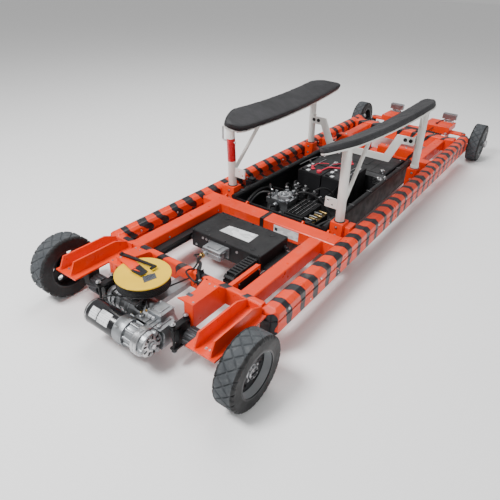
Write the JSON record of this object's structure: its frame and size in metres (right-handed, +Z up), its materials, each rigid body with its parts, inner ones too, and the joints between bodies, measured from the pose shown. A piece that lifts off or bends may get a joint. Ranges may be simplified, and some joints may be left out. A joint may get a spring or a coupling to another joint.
{
  "type": "battery-electric cradle carrier",
  "caption": "Low four-wheeled battery-electric carrier with a ladder frame, a front drive axle, steered rear wheels and two padded cradle rests on raked posts that lift the load.",
  "frame": {"origin": "on the floor, under the middle of the overall length and width", "axes": "+X to the rear axle, +Y to the machine's left seen from behind the drive end looking along +X, +Z up"},
  "size_m": [3.8499, 1.294, 0.746],
  "materials": {
    "frame_orange": "gloss enamel",
    "black_paint": "satin",
    "white_paint": "satin",
    "rim_black": "satin",
    "bright_steel": "zinc plated",
    "cast_aluminium": "as cast",
    "cast_iron": "cast",
    "tyre_rubber": "matte",
    "cable_rubber": "matte",
    "red_rubber": "satin",
    "pad_vinyl": "leathergrain vinyl over foam",
    "reel_yellow": "gloss",
    "black_plastic": "matte"
  },
  "bodies": {
    "chassis": {"side_beam_left": "frame_orange", "side_beam_right": "frame_orange", "front_crossbeam": "frame_orange", "middle_crossbeams": "frame_orange", "rear_crossbeam": "frame_orange", "inner_rails": "frame_orange", "wheel_arms": "frame_orange", "front_boxes": "frame_orange", "post_sockets": "frame_orange", "rear_axle_beam": "frame_orange", "lamp_brackets": "bright_steel", "frame_bolts": "bright_steel", "battery_tray": "black_paint", "batteries": "black_plastic", "battery_terminals": "red_rubber", "hydraulic_motor": "black_paint", "hydraulic_pump": "cast_aluminium", "charger_box": "black_plastic", "transaxle_housing": "cast_aluminium", "drive_motor": "black_paint", "gear_head": "cast_aluminium", "axle_clamps": "black_paint", "rack_housing": "black_paint", "reel_bracket": "frame_orange", "carriage_slides": "black_paint", "control_cable": "cable_rubber", "energy_chain": "black_plastic", "chain_guide": "frame_orange"},
    "front_wheel_left": {"front_tyre_left": "tyre_rubber", "front_rim_left": "rim_black", "drive_axle_left": "bright_steel"},
    "rear_knuckle_left": {"steering_knuckle_left": "cast_iron"},
    "rear_wheel_left": {"rear_tyre_left": "tyre_rubber", "rear_rim_left": "rim_black", "rear_hub_left": "bright_steel"},
    "lamp_left": {"work_lamp_left": "cast_aluminium"},
    "front_wheel_right": {"front_tyre_right": "tyre_rubber", "front_rim_right": "rim_black", "drive_axle_right": "bright_steel"},
    "rear_knuckle_right": {"steering_knuckle_right": "cast_iron"},
    "rear_wheel_right": {"rear_tyre_right": "tyre_rubber", "rear_rim_right": "rim_black", "rear_hub_right": "bright_steel"},
    "lamp_right": {"work_lamp_right": "cast_aluminium"},
    "rack": {"steering_rack": "bright_steel", "tie_rods": "bright_steel"},
    "isolator": {"isolator_knob": "bright_steel"},
    "reel": {"reel_drum": "reel_yellow", "reel_cable": "cable_rubber"},
    "latch": {"reel_latch": "black_paint"},
    "carriage": {"carriage_box": "black_paint", "carriage_connector": "cast_aluminium"},
    "cradle": {"cradle_pad_left": "pad_vinyl", "cradle_pad_right": "pad_vinyl", "pad_plates": "white_paint", "cradle_posts": "white_paint", "cradle_braces": "white_paint", "stub_brackets": "white_paint", "cross_brace": "white_paint"},
    "pin": {"lock_pin": "bright_steel"}
  },
  "joints": [
    {"name": "front_wheel_left_spin", "type": "hinge", "parent": "chassis", "child": "front_wheel_left", "pos_m": [-1.73505, 0.565, 0.16], "axis": [0, 1, 0], "continuous": true},
    {"name": "rear_left_steer", "type": "hinge", "parent": "chassis", "child": "rear_knuckle_left", "pos_m": [1.76495, 0.432, 0.16], "axis": [0, 0, 1], "range_deg": [-16, 16]},
    {"name": "rear_wheel_left_spin", "type": "hinge", "parent": "rear_knuckle_left", "child": "rear_wheel_left", "pos_m": [1.76495, 0.565, 0.16], "axis": [0, 1, 0], "continuous": true},
    {"name": "lamp_left_tilt", "type": "hinge", "parent": "chassis", "child": "lamp_left", "pos_m": [1.86895, 0.256, 0.279], "axis": [0, 1, 0], "range_deg": [-30, 30]},
    {"name": "front_wheel_right_spin", "type": "hinge", "parent": "chassis", "child": "front_wheel_right", "pos_m": [-1.73505, -0.565, 0.16], "axis": [0, 1, 0], "continuous": true},
    {"name": "rear_right_steer", "type": "hinge", "parent": "chassis", "child": "rear_knuckle_right", "pos_m": [1.76495, -0.432, 0.16], "axis": [0, 0, 1], "range_deg": [-16, 16]},
    {"name": "rear_wheel_right_spin", "type": "hinge", "parent": "rear_knuckle_right", "child": "rear_wheel_right", "pos_m": [1.76495, -0.565, 0.16], "axis": [0, 1, 0], "continuous": true},
    {"name": "lamp_right_tilt", "type": "hinge", "parent": "chassis", "child": "lamp_right", "pos_m": [1.86895, -0.256, 0.279], "axis": [0, 1, 0], "range_deg": [-30, 30]},
    {"name": "rack_slide", "type": "slide", "parent": "chassis", "child": "rack", "axis": [0, 1, 0], "range_m": [-0.033, 0.033]},
    {"name": "isolator_turn", "type": "hinge", "parent": "chassis", "child": "isolator", "pos_m": [0.25495, -0.262, 0.26], "axis": [0, 0, 1], "range_deg": [0, 90]},
    {"name": "reel_spin", "type": "hinge", "parent": "chassis", "child": "reel", "pos_m": [-1.68105, 0.048, 0.28], "axis": [0, 0, 1], "continuous": true},
    {"name": "latch_turn", "type": "hinge", "parent": "chassis", "child": "latch", "pos_m": [-1.65105, 0.214, 0.32], "axis": [0, 0, 1], "range_deg": [0, 60]},
    {"name": "carriage_slide", "type": "slide", "parent": "chassis", "child": "carriage", "axis": [1, 0, 0], "range_m": [-0.06, 0.06], "deforming": ["energy_chain", "control_cable"]},
    {"name": "cradle_lift", "type": "slide", "parent": "chassis", "child": "cradle", "axis": [-0.0872, 0, 0.9962], "range_m": [0, 0.09]},
    {"name": "lock_pin_slide", "type": "slide", "parent": "cradle", "child": "pin", "axis": [0, 1, 0], "range_m": [0, 0.03]}
  ],
  "couplings": [
    {"joint": "rear_left_steer", "follows": "rack_slide", "rad_per_m": -8.3333},
    {"joint": "rear_right_steer", "follows": "rack_slide", "rad_per_m": -8.3333}
  ]
}
